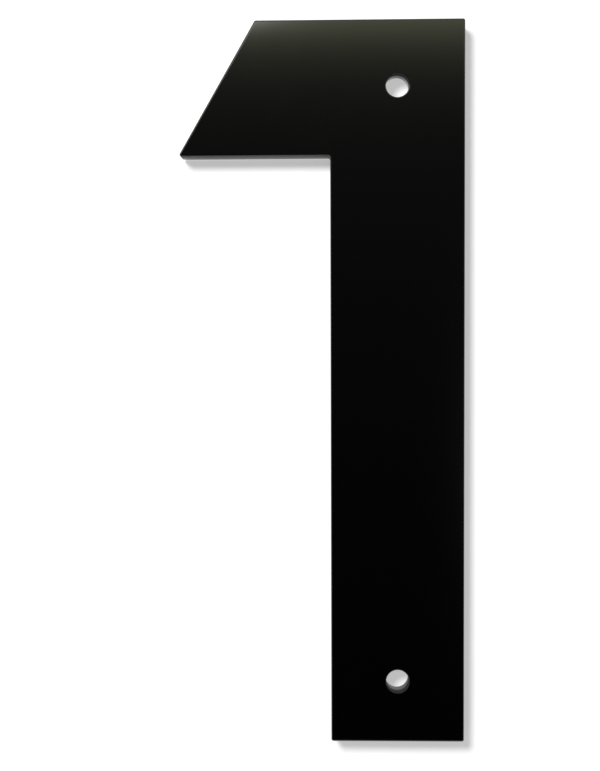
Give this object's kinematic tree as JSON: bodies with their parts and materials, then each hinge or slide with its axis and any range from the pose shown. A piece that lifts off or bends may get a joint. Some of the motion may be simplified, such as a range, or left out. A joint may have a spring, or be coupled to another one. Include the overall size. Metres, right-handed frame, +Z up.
{
  "type": "house number",
  "caption": "Flat numeral for a house, cut from thick gloss black sheet, with plain fixing holes near the top and the foot of its stem so that it can stand off a wall on studs.",
  "frame": {"origin": "midway between the two fixing holes, on the back face", "axes": "+Z up along the stem, -Y out of the front face, +Y into the wall"},
  "size_m": [0.0786, 0.006, 0.2],
  "materials": {
    "black_sheet": "gloss faces, satin cut edges"
  },
  "bodies": {
    "root": {"number_plate": "black_sheet"}
  },
  "joints": []
}
